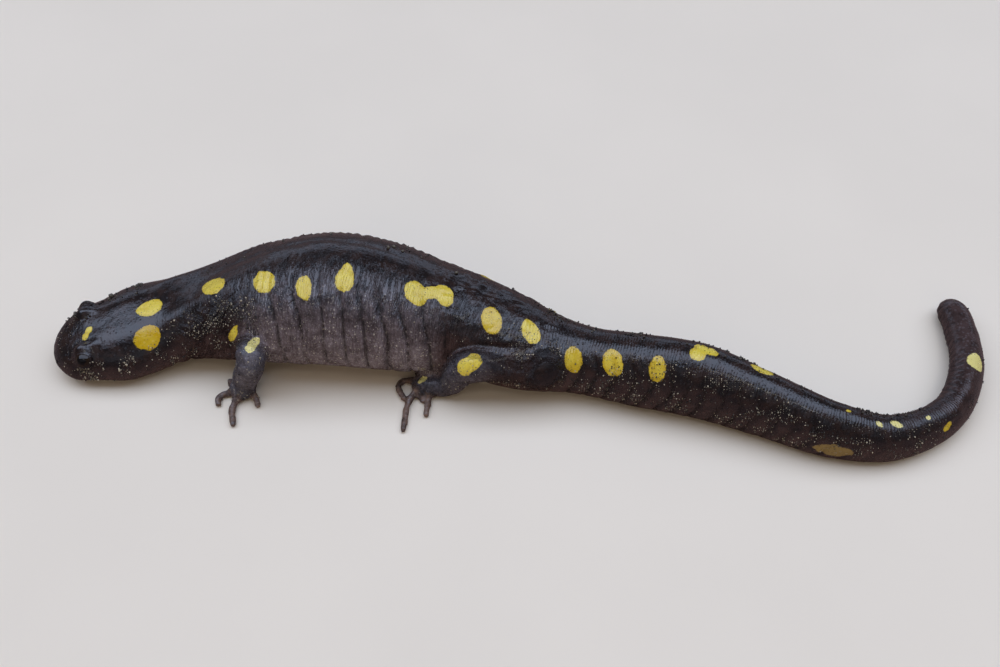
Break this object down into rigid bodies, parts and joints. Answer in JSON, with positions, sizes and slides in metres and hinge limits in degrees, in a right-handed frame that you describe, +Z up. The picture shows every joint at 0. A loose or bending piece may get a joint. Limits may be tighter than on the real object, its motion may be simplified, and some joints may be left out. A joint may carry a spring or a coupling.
{
  "type": "spotted salamander",
  "caption": "Life-size spotted salamander lying on its belly, tail end curled aside: smooth wet black skin with round yellow spots.",
  "frame": {"origin": "middle of the animal's footprint, at the level of the ground it lies on", "axes": "+X from head to tail, -Y towards the animal's left side, +Z up"},
  "size_m": [0.1538, 0.043, 0.0206],
  "materials": {
    "skin": "wet gloss, near black with yellow spots",
    "eye": "wet gloss",
    "soil": "damp crumbs"
  },
  "bodies": {
    "root": {"head": "skin", "neck": "skin", "chest": "skin", "belly": "skin", "loin": "skin", "pelvis": "skin", "tail_1": "skin", "tail_2": "skin", "tail_3": "skin", "tail_4": "skin", "tail_5": "skin", "tail_6": "skin", "fore_left_upper_arm": "skin", "fore_left_forearm": "skin", "fore_left_hand": "skin", "fore_right_upper_arm": "skin", "fore_right_forearm": "skin", "fore_right_hand": "skin", "hind_left_thigh": "skin", "hind_left_shank": "skin", "hind_left_foot": "skin", "hind_right_thigh": "skin", "hind_right_shank": "skin", "hind_right_foot": "skin", "eye_left": "eye", "eye_right": "eye"}
  },
  "joints": []
}
